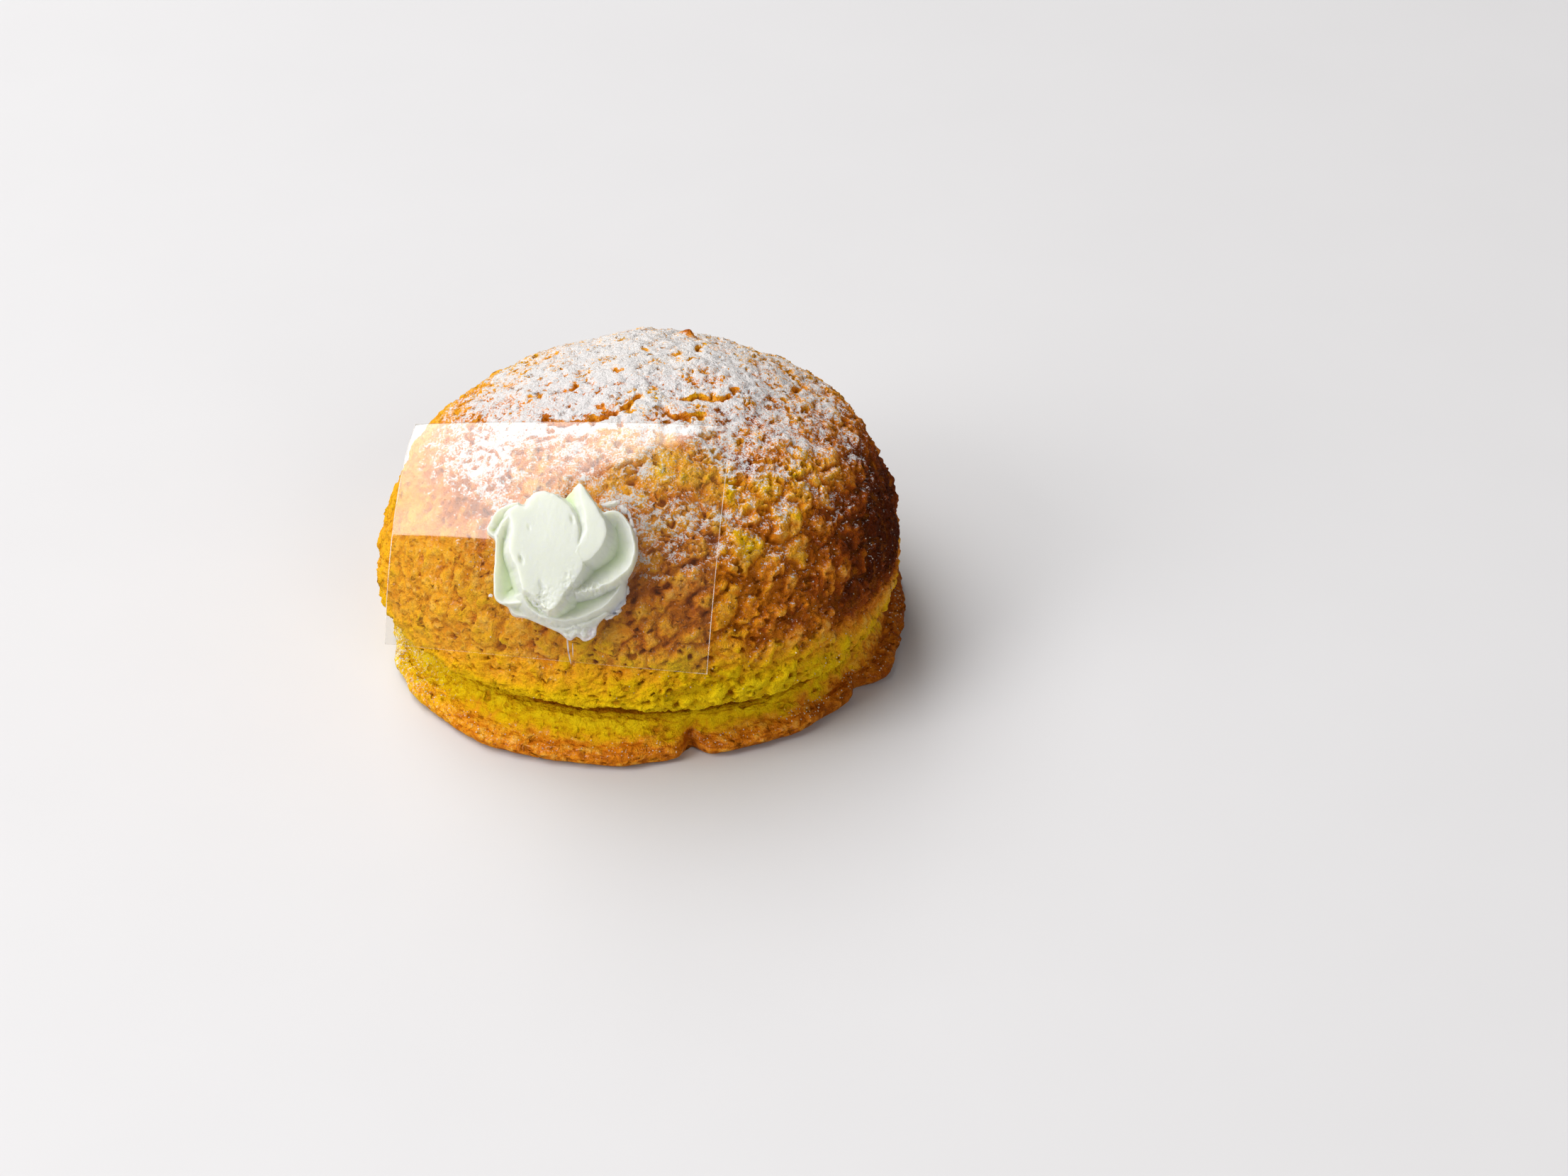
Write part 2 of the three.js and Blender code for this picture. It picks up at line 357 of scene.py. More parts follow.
def set_places(mesh, places):
    """Puts the points of a mesh at places in mm and gives back their normals."""
    mesh.vertices.foreach_set("co", (places * metres).ravel())
    mesh.update()
    normals = np.zeros(len(places) * 3)
    mesh.vertex_normals.foreach_get("vector", normals)
    return normals.reshape(-1, 3)


crust_normals = set_places(crust_mesh, crust_places)
facing_up = crust_normals[:, 2] - outwards[:, 2]
# What stands up is paler and the dents are darker: painted light on the lumps and painted shade in the dents.
browning_and_shade = browning_and_shade_field(turn, height, crust_base) + 0.5 * blister_share
browning_and_shade -= (0.08 + 0.13 * right_side) * np.clip(stands, -0.6, 0.6) - 0.12 * dents
# Sugar stays on what faces up. Some is rubbed off where the upper part of the sheet lies close.
dust = dust_field(turn, height, crust_base)
dust += 0.55 * np.clip(facing_up, -0.7, 0.7) * smoothstep(16, 30, height)
dust -= (0.7 + 0.5 * top_share) * pitted + 1.2 * torn + 0.8 * blister_share
rubbed = smoothstep(-4, 0, on_the_sheet(crust_base)[1] - 12) * (poke_through(crust_base, 6, 2) > 0)
dust -= 0.2 * rubbed
# Pits, tears and creases between lumps get painted shade, the flap's hollow less so, and the front beside the
# rosette a little more.
torn -= 0.45 * flap_hollow
hollow_shade = np.maximum(np.maximum(np.sqrt(pitted), torn), 0.4 * dents)
hollow_shade = np.maximum(hollow_shade, (0.6 + 0.1 * right_side) * (1 - lumps) * lumpiness)
hollow_shade += 0.18 * near_azimuth(turn, 14, 24) * smoothstep(22, 30, height) * (1 - smoothstep(44, 50, height))


def finished_piece(name, mesh, fields, material):
    """Gives a mesh its per-point fields and its material, and shows it."""
    for field, values in fields.items():
        attribute = mesh.attributes.new(field, "FLOAT", "POINT")
        attribute.data.foreach_set("value", values.astype(np.float32))
    mesh.polygons.foreach_set("use_smooth", [True] * len(mesh.polygons))
    mesh.materials.append(material)
    mesh.update()
    piece = bpy.data.objects.new(name, mesh)
    bpy.context.scene.collection.objects.link(piece)
    return piece


def thinned(piece, triangles):
    """Merges faces where the surface is flattest, down to a count of triangles."""
    thinning = piece.modifiers.new("thinning", "DECIMATE")
    thinning.ratio = triangles / (2 * len(piece.data.polygons))
    graph = bpy.context.evaluated_depsgraph_get()
    result = piece.evaluated_get(graph)
    mesh = bpy.data.meshes.new_from_object(result, preserve_all_data_layers=True, depsgraph=graph)
    piece.modifiers.clear()
    piece.data = mesh


class Shade:
    """One socket of a material. Sums on it add Math nodes, and node() adds any other node."""

    def __init__(self, tree, socket=None):
        self.tree = tree
        self.socket = socket

    def node(self, kind, settings=None, inputs=None, output=0):
        made = self.tree.nodes.new(kind)
        for name, value in (settings or {}).items():
            if name == "stops":
                for i, (place, colour) in enumerate(value):
                    stop = made.color_ramp.elements[i] if i < 2 else made.color_ramp.elements.new(place)
                    stop.position = place
                    stop.color = colour
            else:
                setattr(made, name, value)
        for name, value in (inputs or {}).items():
            if isinstance(value, Shade):
                self.tree.links.new(value.socket, made.inputs[name])
            else:
                made.inputs[name].default_value = value
        return Shade(self.tree, made.outputs[output])

    def maths(self, operation, first, second):
        return self.node("ShaderNodeMath", {"operation": operation}, {0: first, 1: second})

    def __add__(self, other):
        return self.maths("ADD", self, other)

    def __radd__(self, other):
        return self.maths("ADD", other, self)

    def __sub__(self, other):
        return self.maths("SUBTRACT", self, other)

    def __rsub__(self, other):
        return self.maths("SUBTRACT", other, self)

    def __mul__(self, other):
        return self.maths("MULTIPLY", self, other)

    def __rmul__(self, other):
        return self.maths("MULTIPLY", other, self)

    def between(self, low, high):
        """0 below low, 1 above high, eased between."""
        settings = {"interpolation_type": "SMOOTHSTEP"}
        return self.node("ShaderNodeMapRange", settings, {0: self, 1: low, 2: high})

    def mix(self, share, first, second):
        """The first colour where the share is 0, the second where it is 1."""
        return self.node("ShaderNodeMix", {"data_type": "RGBA"}, {0: share, 6: first, 7: second}, 2)

    def painted(self, colour, mask):
        """A plain colour laid over this one where the mask is 1."""
        return self.mix(mask, self, (*colour, 1))

    def tinted(self, low, high):
        """A plain colour where this value is 0, fading to another where it is 1."""
        return self.mix(self, (*low, 1), (*high, 1))

    def attribute(self, name):
        """A field that is stored on a mesh's points."""
        return self.node("ShaderNodeAttribute", {"attribute_name": name}, output=2)

    def place(self):
        """Places on the object, in metres."""
        return self.node("ShaderNodeTexCoord", output=3)

    def grain(self, at, size, detail, roughness=0.6, output=0):
        """Noise of a grain size in metres, 0 to 1."""
        inputs = {0: at, 2: 1 / size, 3: detail, 4: roughness}
        return self.node("ShaderNodeTexNoise", inputs=inputs, output=output)

    def shaken(self, at, size, reach):
        """Places pushed about by noise of a grain size, by up to half a reach in metres."""
        push = self.grain(at, size, 2, output=1)
        settings = {"operation": "MULTIPLY_ADD"}
        return self.node("ShaderNodeVectorMath", settings, {0: push, 1: (reach, reach, reach), 2: at})

    def pores(self, at, spacing, widest, share):
        """Round pits of mixed sizes, 1 at the bottom, in a share of the cells of a broken grid."""
        cells = {"Vector": at, "Scale": 1 / spacing}
        gap = self.node("ShaderNodeTexVoronoi", inputs=cells)
        luck = self.node("ShaderNodeTexVoronoi", inputs=cells, output=1)
        luck = self.node("ShaderNodeSeparateColor", inputs={0: luck})
        reach = (share - luck).between(0, share) * (widest / spacing)
        return (reach - gap).between(0, 0.8 * widest / spacing)

    def finish(self, inputs, bump=None):
        """The surface itself, with a bump whose height is in millimetres."""
        if bump is not None:
            inputs["Normal"] = bump.bumped()
        self.node("ShaderNodeBsdfPrincipled", inputs=inputs).shown()

    def bumped(self):
        """The normals of a relief, from this height in millimetres."""
        return self.node("ShaderNodeBump", inputs={0: 1.0, 1: metres, "Height": self})

    def shown(self):
        """Makes this shader the one that the material shows."""
        output = self.tree.nodes.new("ShaderNodeOutputMaterial")
        self.tree.links.new(self.socket, output.inputs[0])


def new_material(name):
    """An empty material, and a Shade to add its nodes with."""
    material = bpy.data.materials.new(name)
    material.use_nodes = True
    material.node_tree.nodes.clear()
    return material, Shade(material.node_tree)


def baked_crust():
    """Crust from yellow to dark brown by "browning_and_shade", painted darker where "hollow_shade",
    and sugared by "dust", which at the brim's left is a painted sheen.
    """
    material, shade = new_material("baked_crust")
    at = shade.place()
    crumb = shade.grain(at, 0.0021, 4, 0.62)
    fine_crumb = shade.grain(at, 0.0005, 3, 0.7)
    patch = shade.grain(at, 0.006, 3, 0.6)
    loose = shade.shaken(at, 0.0012, 0.0014)
    pores = shade.pores(loose, 0.0019, 0.0012, 0.5)
    nub_cells = {"Vector": loose, "Scale": 1 / 0.0016}
    nubs = shade.node("ShaderNodeTexVoronoi", {"feature": "SMOOTH_F1"}, nub_cells)
    crown = (crumb - nubs * 0.8 + fine_crumb * 0.4).between(0.15, 0.65)
    # The crowns of the lumps are painted paler: painted light.
    browned_and_shaded = shade.attribute("browning_and_shade") - (crown - 0.5) * 0.1 + (patch - 0.5) * 0.12
    stops = [
        (0.0, (1.0, 0.70, 0.008, 1)),
        (1.0, (0.10, 0.016, 0.002, 1)),
        (0.24, (0.88, 0.52, 0.004, 1)),
        (0.42, (0.98, 0.45, 0.014, 1)),
        (0.62, (0.80, 0.24, 0.008, 1)),
        (0.8, (0.35, 0.066, 0.004, 1)),
    ]
    crust = shade.node("ShaderNodeValToRGB", {"stops": stops}, {0: browned_and_shaded})
    # In the orange band the crowns get a pale painted highlight, and the coat gives a real shine.
    shine_and_highlight_band = shade.attribute("browning_and_shade").between(0.36, 0.46)
    raised = (1 - shade.attribute("hollow_shade")).between(0.5, 1.0)
    dark = shade.attribute("browning_and_shade").between(0.55, 0.75)
    painted_highlight = crown * raised * shine_and_highlight_band * (fine_crumb + 0.2) * (1 - dark)
    crust = crust.painted((1.0, 0.60, 0.18), painted_highlight * 0.55)
    # Painted shade in the pits, tears and creases, and in the small pores.
    hollow_shade = (shade.attribute("hollow_shade") - (crumb - 0.5) * 0.6).between(0.4, 0.9)
    crust = crust.painted((0.44, 0.115, 0.003), hollow_shade * 0.8)
    crust = crust.painted((0.55, 0.16, 0.003), pores * 0.6)
    powder = shade.grain(at, 0.00028, 2, 0.7)
    dusted = shade.attribute("dust") - pores * 0.3 + (fine_crumb - 0.5) * 1.4
    dusted = dusted + (crumb - 0.5) * 0.6 + (powder - 0.5) * 0.8
    sugar = dusted.between(0.38, 0.64)
    crust = crust.painted((0.81, 0.80, 0.80), sugar * 0.95)
    relief = (crumb * 1.7 - pores - nubs) * (1 - sugar * 0.5)
    shine = (fine_crumb + (powder - 0.5) * 0.6).between(0.5, 0.66)
    shade.finish(
        {
            "Base Color": crust,
            "Roughness": 0.5 + sugar * 0.3 - (powder - 0.5) * 0.4,
            "Specular IOR Level": 0.03,
            "Coat Weight": shine * (1 - sugar) * shine_and_highlight_band * 0.8,
            "Coat Roughness": 0.25,
        },
        bump=relief + fine_crumb * 0.7 + sugar * powder * 0.2,
    )
    return material


crust_material = baked_crust()
crust_fields = {"browning_and_shade": browning_and_shade, "dust": dust, "hollow_shade": hollow_shade}
bun_dome = finished_piece("bun_dome", crust_mesh, crust_fields, crust_material)
thinned(bun_dome, dome_triangles)
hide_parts("bun")
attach(bun_dome, "root")


# Brim: the foot of biscuit dough that ran out over the tray below the dome and baked thin. Its
# edge is browned and pitted, with swells where it ran far and notches where it tore.
brim = {"radius": 55.5, "thickness": 4.4, "height": 7.0, "offset": (-1.6, 2.5), "inset": 4.0}
brim_cuts = 127
# Each swell or notch of the edge: its azimuth, its spread in degrees and how far it runs out.
brim_waves = [
    (-82, 15, -3.4), (-28, 20, 2.8), (-3, 9, 1.3), (13, 2.4, -4.6), (38, 12, 0.7), (57, 3, -2.2),
    (66, 9, 2.0), (112, 16, 1.4), (152, 4.5, -3.8), (-158, 18, 2.2), (-119, 4, -2.6),
]
foot = brim["radius"] - brim["inset"]
rim = [
    (foot + brim["inset"] * math.cos(t), brim["thickness"] / 2 * (1 + math.sin(t)))
    for t in np.linspace(math.pi / 2, -math.pi / 2, 25)
]
brim_outline = [(0, 8), (crease["radius"] - 4, 8), (crease["radius"], crease["height"] - 0.8)]
brim_outline += [((foot + crease["radius"]) / 2, brim["height"] + 0.9)] + rim + [(0, 0)]
brim_weights = [0.05, 0.4, 1, 1] + [1.2] * (len(rim) - 1) + [0.06]

brim_mesh, brim_directions = even_ball("bun_brim", brim_cuts)
brim_base = turned_place(brim_directions, brim_outline, brim_weights)
turn = azimuth(brim_base)
radius = np.hypot(brim_base[:, 0], brim_base[:, 1])
out_share = smoothstep(crease["radius"], brim["radius"], radius)
reach = 0.5 * noise_field(brim_base * [1, 1, 0], 7, 3, shift=8)
notch = np.zeros(len(brim_base))
for at, spread, swell_reach in brim_waves:
    reach += swell_reach * near_azimuth(turn, at, spread)
    if swell_reach < -2 and spread < 6:
        notch = np.maximum(notch, near_azimuth(turn, at, spread * 0.6))
stretch = 1 + out_share * reach / brim["radius"]
brim_places = brim_base.copy()
brim_places[:, 0] = brim_base[:, 0] * stretch + out_share * brim["offset"][0]
brim_places[:, 1] = brim_base[:, 1] * stretch + out_share * brim["offset"][1]
height = brim_base[:, 2]
upper = smoothstep(0.3, 2.0, height)
quiver = np.stack([noise_field(brim_places, 1.3, 1, shift=s) for s in (5, 19, 37)], axis=1)
brim_pits = pit_field(brim_places + 0.5 * quiver, 1.9, 0.75, 0.6 * out_share**2 + 0.001, 33, 0.15)
brim_lumps = noise_field(brim_places, 6, 2, shift=61)
brim_crumbs = lump_field(brim_places + 0.5 * quiver, 2.6, 15)
brim_grit = noise_field(brim_places, 0.8, 2, shift=17)
crack_line = np.abs(noise_field(brim_places, 7, 2, shift=83))
cracked = smoothstep(0.1, 0.5, noise_field(brim_places, 6, 1, shift=99))
ring_crack = (1 - smoothstep(0.02, 0.07, crack_line)) * cracked
brim_lift = upper * (0.55 * brim_lumps + 0.3 * (brim_crumbs - 0.6) + 0.12 * brim_grit)
brim_lift -= upper * (0.8 * brim_pits + 0.7 * ring_crack * out_share + 0.5 * notch * out_share)
brim_out = np.stack([
    brim_base[:, 0] / np.maximum(radius, 1) * out_share,
    brim_base[:, 1] / np.maximum(radius, 1) * out_share,
    0.3 + 0.7 * smoothstep(1.5, 4, height),
], axis=1)
brim_out /= np.linalg.norm(brim_out, axis=1)[:, None]
brim_places += brim_out * brim_lift[:, None]
brim_places[:, 2] = np.where(height <= 0.001, 0, np.maximum(brim_places[:, 2], 0))
brim_normals = set_places(brim_mesh, brim_places)

# The brim browns towards its edge, least at the left and most at the right, and in its notches.
# The paler left and darker right are partly painted light and shade, and crumb crowns are painted paler.
browned_from = radius + 1.8 * noise_field(brim_base, 5, 3, shift=9)
brim_browning_and_shade = (0.6 - 0.5 * near_azimuth(turn, -75, 28)) * smoothstep(47.5, 54.5, browned_from)
brim_browning_and_shade += 0.36 * near_azimuth(turn, 95, 42) + 0.2 * notch * out_share + 0.16 * (0.6 - brim_crumbs)
brim_browning_and_shade = np.minimum(brim_browning_and_shade, 0.72)
# A little sugar lies at the outer edge. The pale patch at the left is a painted sheen, laid on as sugar.
brim_sugar_and_sheen = 0.08 * smoothstep(52, 56, radius) + 0.34 * near_azimuth(turn, -68, 24) - 0.7 * brim_pits
# Painted shade in the brim's pits and cracks and between its crumbs.
brim_hollow_shade = np.maximum(np.sqrt(brim_pits), ring_crack * out_share)
brim_hollow_shade = np.maximum(brim_hollow_shade, 0.5 * (1 - brim_crumbs) + 0.15)
# Where it goes in under the dome it gets a dark painted shade, which draws the crease.
brim_hollow_shade = np.maximum(brim_hollow_shade, 0.9 * (1 - smoothstep(46, 48, radius)))
brim_fields = {"browning_and_shade": brim_browning_and_shade, "dust": brim_sugar_and_sheen, "hollow_shade": brim_hollow_shade}
bun_brim = finished_piece("bun_brim", brim_mesh, brim_fields, crust_material)
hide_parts("bun")
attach(bun_brim, "root")


# Sugar grains: coarse crystals pressed into the brim and into the crust above it before baking.
# Each is a small block turned at random and sunk a third of its depth into the surface.
grain_doublings = 10
brim_grains = 724
crust_grains = 2**grain_doublings - brim_grains


def sugar_crystals(chances):
    """Blocks doubled up from one, and shared out by places, normals, shares and counts."""
    luck = np.random.default_rng(12)
    blocks = bmesh.new()
    bmesh.ops.create_cube(blocks, size=1)
    for _ in range(grain_doublings):
        bmesh.ops.duplicate(blocks, geom=blocks.verts[:] + blocks.edges[:] + blocks.faces[:])
    mesh = shaped_mesh("sugar_crystals", blocks)
    corners = mesh_places(mesh).reshape(-1, 8, 3)
    block = 0
    for places, normals, share, count in chances:
        for pick in luck.choice(len(places), count, replace=False, p=share / share.sum()):
            size = luck.uniform(0.12, 0.26)
            spin = np.array(Euler(luck.uniform(0, math.tau, 3)).to_matrix())
            corners[block] = corners[block] * size * luck.uniform(0.6, 1.2, 3) @ spin
            corners[block] += places[pick] + normals[pick] * size * 0.2
            block += 1
    set_places(mesh, corners.reshape(-1, 3))
    return mesh


def crystal_sugar():
    """Half-clear sugar, from honey-coloured to white."""
    material, shade = new_material("crystal_sugar")
    colour = shade.grain(shade.place(), 0.0009, 2).tinted((1, 0.86, 0.55), (1, 0.97, 0.88))
    shade.finish({"Base Color": colour, "Roughness": 0.2, "Specular IOR Level": 1.0, "Alpha": 0.45})
    return material


# Most lie on the outer part of the brim, the rest below the dome's top, mainly at its front right.
least_share = 1e-9
brim_share = smoothstep(2.5, 4, height) * smoothstep(50, 54, radius)
brim_share = brim_share * (0.35 + np.clip(brim_lumps, 0, 1)) + least_share
crust_share = (1 - top_share) * smoothstep(12, 18, crust_base[:, 2]) * (0.04 + right_side) + least_share
sugar_mesh = sugar_crystals([
    (brim_places, brim_normals, brim_share, brim_grains),
    (crust_places, crust_normals, crust_share, crust_grains),
])
sugar_grains = finished_piece("sugar_grains", sugar_mesh, {}, crystal_sugar())
sugar_mesh.polygons.foreach_set("use_smooth", [False] * len(sugar_mesh.polygons))
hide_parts("bun")
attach(sugar_grains, "root")


# Film: a cut rectangle of clear stiff plastic, bent over the front of the dome and held where the
# rosette's neck passes through its hole. It touches the crust at the right and stands off at the left.
film_hole = {"at": (2.3, -6.8), "radius": 6.0}


def bent_places(flat):
    """Points of the flat sheet, x across, y up and z off its face, taken to its bent place."""
    x, y, z = flat.T
    down = -y * slant_cos + x * slant_sin
    across = x * slant_cos + y * slant_sin
    bend = sheet["bend"] + sheet["taper"] * across
    along = np.sin(down * bend) * (1 / bend + z)
    off = np.cos(down * bend) * (1 / bend + z) - 1 / bend
    off -= sheet["curl"] * across**2 + sheet["end_curl"] * across**3
    bent_x = across * slant_cos + along * slant_sin
    bent_y = across * slant_sin - along * slant_cos
    return np.stack([bent_x, bent_y, off], axis=1) @ sheet_turn.T + np.array(sheet["centre"])


def flat_film():
    """The cut sheet, flat, with its hole, in rings that run from the hole out to the edge."""
    film = bmesh.new()
    rings = 30
    spokes = 160
    edge_ring = 0.994
    half_width, half_height = sheet["width"] / 2, sheet["height"] / 2
    corner = math.atan2(half_height, half_width)
    marks = [-corner, corner, math.pi - corner, math.pi + corner, 2 * math.pi - corner]
    bmesh.ops.create_circle(film, cap_ends=False, radius=1, segments=spokes)
    loop = film.edges[:]
    for _ in range(rings):
        made = bmesh.ops.extrude_edge_only(film, edges=loop)["geom"]
        loop = [g for g in made if isinstance(g, bmesh.types.BMEdge) and len(g.link_faces) == 1]
        bmesh.ops.translate(film, verts=list({v for e in loop for v in e.verts}), vec=(0, 0, 1))
    for v in film.verts:
        ring = round(v.co.z)
        share = 1 if ring == rings else edge_ring * ring / (rings - 1)
        angle = math.atan2(v.co.y, v.co.x) % math.tau
        quarter_turns = ((angle + math.pi / 4) % math.tau) / (math.pi / 2)
        side = min(int(quarter_turns + 1e-6), 3)
        spoke = marks[side] + (marks[side + 1] - marks[side]) * (quarter_turns - side)
        c, s = math.cos(spoke), math.sin(spoke)
        edge = min(half_width / max(abs(c), 1e-9), half_height / max(abs(s), 1e-9))
        inner_x = film_hole["at"][0] + film_hole["radius"] * c
        inner_y = film_hole["at"][1] + film_hole["radius"] * s
        v.co = (inner_x + (edge * c - inner_x) * share, inner_y + (edge * s - inner_y) * share, 0)
    bmesh.ops.recalc_face_normals(film, faces=film.faces[:])
    if sum(f.normal.z for f in film.faces) < 0:
        bmesh.ops.reverse_faces(film, faces=film.faces[:])
    bmesh.ops.solidify(film, geom=film.faces[:], thickness=-sheet["thickness"])
    return shaped_mesh("film_sheet", film)


# The cut edge gets a painted highlight, at the sheet's sides more than at its top and bottom.
film_mesh = flat_film()
film_flat = mesh_places(film_mesh)
at_edge = 0.9995
film_edge_highlight = 0.13 * (np.abs(film_flat[:, 1]) * 2 / sheet["height"] > at_edge)
film_edge_highlight = np.maximum(film_edge_highlight, 0.75 * (np.abs(film_flat[:, 0]) * 2 / sheet["width"] > at_edge))
set_places(film_mesh, bent_places(film_flat))


def clear_film():
    """Clear through its faces, with a painted highlight along its cut edge, where light leaves the sheet."""
    material, shade = new_material("clear_film")
    at = shade.place()
    clear = shade.node("ShaderNodeBsdfTransparent", inputs={0: (0.985, 0.985, 0.98, 1)})
    ripple = (shade.grain(at, 0.014, 1) * 0.08).bumped()
    gloss = shade.node("ShaderNodeBsdfGlossy", inputs={0: (1, 1, 1, 1), "Roughness": 0.06, "Normal": ripple})
    facing = shade.node("ShaderNodeLayerWeight", inputs={0: 0.5}, output=1)
    mirror = 0.052 + facing * facing * facing * facing * 0.4
    faces = shade.node("ShaderNodeMixShader", inputs={0: mirror, 1: clear, 2: gloss})
    edge_highlight = shade.node("ShaderNodeBsdfDiffuse", inputs={0: (0.95, 0.92, 0.85, 1)})
    edge = shade.attribute("edge") * (shade.grain(at, 0.006, 2).between(0.35, 0.6) * 0.7 + 0.3)
    shade.node("ShaderNodeMixShader", inputs={0: edge, 1: faces, 2: edge_highlight}).shown()
    return material


film_sheet = finished_piece("film_sheet", film_mesh, {"edge": film_edge_highlight}, clear_film())
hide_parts("film")
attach(film_sheet, "root")


# Rosette: whipped cream piped from a star nozzle in one turning squeeze, so that thin crests fold
# over each other round it, then pressed so that its middle and one petal lie flat.

# Places are x across and y up on the sheet, and the third number is the height off the sheet.
rosette_cuts = 127
rosette_middle = np.array([2.3, -6.0])
rosette_neck = {"radius": 5.3, "depth": -5.0}
rosette_outline = [
    (4.5, 7.2), (6.2, 6.4), (8.0, 4.4), (9.5, 3.2), (11.5, 3.4), (13.7, 3.0), (15.8, 0.3), (16.8, -3.2),
    (16.2, -6.5), (15.0, -9.0), (15.1, -11.2), (14.2, -13.9), (11.5, -15.8), (9.9, -17.8), (9.6, -19.8),
    (7.6, -21.0), (6.0, -20.2), (4.6, -21.1), (2.4, -19.7), (-0.3, -18.7), (-4.2, -17.5), (-6.9, -17.2),
    (-8.1, -15.4), (-10.4, -14.2), (-10.9, -11.6), (-11.0, -7.6), (-11.2, -3.6), (-12.9, -2.2),
    (-13.2, -1.2), (-12.4, 0.2), (-11.1, 1.8), (-9.2, 2.7), (-6.8, 3.0), (-5.5, 4.1), (-3.9, 5.4),
    (-2.3, 5.6), (0.6, 5.0), (2.4, 5.8),
]
flat_top = 9.0
pressed_middle = [
    (-2.4, 4.9), (-0.8, 4.7), (0.6, 4.1), (3.3, 2.6), (4.8, 0.4), (5.6, -2.0), (5.7, -4.2), (5.9, -5.4),
    (6.9, -7.0), (6.1, -8.8), (5.0, -10.5), (3.9, -11.8), (3.0, -13.3), (1.2, -14.8), (-0.6, -13.9),
    (-2.2, -12.8), (-3.4, -12.0), (-4.3, -11.6), (-5.3, -9.7), (-5.9, -8.0), (-7.4, -6.1), (-7.8, -4.1),
    (-7.5, -2.2), (-7.9, -0.6), (-8.6, 0.9), (-7.2, 2.0), (-5.4, 2.0), (-4.8, 3.3), (-3.7, 4.5),
]
pressed_petal = [
    (4.4, 6.8), (5.9, 6.0), (7.5, 4.0), (9.0, 2.3), (10.3, 0.6), (10.9, -1.4), (10.4, -3.4), (9.4, -4.9),
    (8.1, -6.1), (6.8, -6.5), (5.4, -5.2), (4.5, -3.5), (3.5, 0), (2.2, 2.6), (0.8, 4.2), (2.4, 5.4),
]
petal_slope = [(4.3, 7.6), (5.4, 4.2), (6.5, 1.4), (7.0, -1.0), (6.6, -2.8), (5.7, -4.3)]
# Each fold: how deep and wide its hollow side is, how steep its other side is, and the stops of
# its crest, clockwise.
folds = [
    (3.6, 2.6, 3.2, [
        (9.6, 2.2, 7.6), (11.6, 2.9, 7.2), (13.4, 2.5, 6.6), (15.3, 0.1, 6.0), (16.3, -3.2, 5.7),
        (15.7, -6.3, 5.8), (13.2, -8.7, 6.2), (10.1, -10.5, 6.6), (7.1, -11.5, 7.0), (4.6, -11.8, 7.4),
    ]),
    (1.9, 1.3, 1.9, [
        (14.3, -8.6, 3.4), (13.2, -11.4, 3.4), (10.7, -13.9, 3.7), (7.8, -15.6, 4.1), (4.3, -16.7, 4.4),
        (1.2, -16.7, 4.7), (-1.8, -15.8, 5.2), (-3.7, -14.2, 6.0), (-4.6, -12.4, 7.0),
    ]),
    (1.1, 1.0, 1.6, [
        (11.5, -14.9, 2.2), (9.3, -16.7, 2.2), (6.6, -17.7, 2.4), (2.6, -18.7, 2.0), (-1.1, -17.6, 2.5),
    ]),
    (0.7, 0.9, 2.6, [(-0.8, -17.8, 1.9), (-4.2, -16.9, 2.0), (-6.4, -16.5, 2.1), (-7.5, -15.0, 2.6)]),
    (3.0, 1.5, 3.2, [
        (-4.3, -13.7, 5.2), (-6.9, -14.4, 4.6), (-8.9, -14.4, 4.5), (-10.1, -13.2, 4.7),
        (-10.4, -11.3, 5.0), (-10.5, -7.7, 5.4), (-10.8, -5.2, 5.8), (-10.6, -3.0, 6.4),
        (-9.9, -1.1, 7.2), (-8.4, 0.2, 8.4),
    ]),
    (2.6, 1.1, 3.2, [
        (-12.0, -1.0, 5.4), (-11.7, 0.1, 6.2), (-10.7, 1.3, 6.8), (-9.0, 2.2, 7.6), (-6.8, 2.5, 8.4),
    ]),
    (1.2, 0.7, 3.0, [(-11.0, -3.2, 4.4), (-12.4, -2.0, 4.6), (-12.8, -1.2, 4.7), (-12.1, -0.3, 5.2)]),
    (0.6, 0.6, 1.5, [(7.8, -19.6, 1.3), (5.9, -18.9, 1.8), (4.6, -20.0, 1.4), (2.8, -18.9, 1.6)]),
]
# Where the cream tore: how raggedly, the place, how many times wider and taller, and how far.
tears = [
    (1.0, -0.4, -13.6, 1, 1, 2.2), (1.0, 8.5, -10.9, 2.2, 1, 1.3), (0.8, 4.6, -11, 1, 2, 1.3),
    (1.0, 7, -19.5, 2.5, 1, 2),
]
# Small nicks in the pressed top: the place, the width and the depth.
nicks = [(4.0, 0.4, 0.35, 0.35), (-4.2, -1.6, 0.3, 0.15), (-5.2, -6.9, 0.35, 0.6), (-0.8, -11.1, 0.5, 0.4)]


def smooth_line(stops, closed=False):
    """Points on a smooth curve through the stops."""
    points_a_step = 6
    stops = np.array(stops, float)
    if closed:
        padded = np.vstack([stops[-1:], stops, stops[:2]])
    else:
        padded = np.vstack([2 * stops[0] - stops[1], stops, 2 * stops[-1] - stops[-2]])
    points = []
    for a, b, c, d in zip(padded, padded[1:], padded[2:], padded[3:]):
        square = 2 * a - 5 * b + 4 * c - d
        cube = 3 * b - a - 3 * c + d
        for t in np.arange(points_a_step) / points_a_step:
            points.append(b + 0.5 * t * (c - a + t * (square + t * cube)))
    points.append(stops[0] if closed else stops[-1])
    return np.array(points)


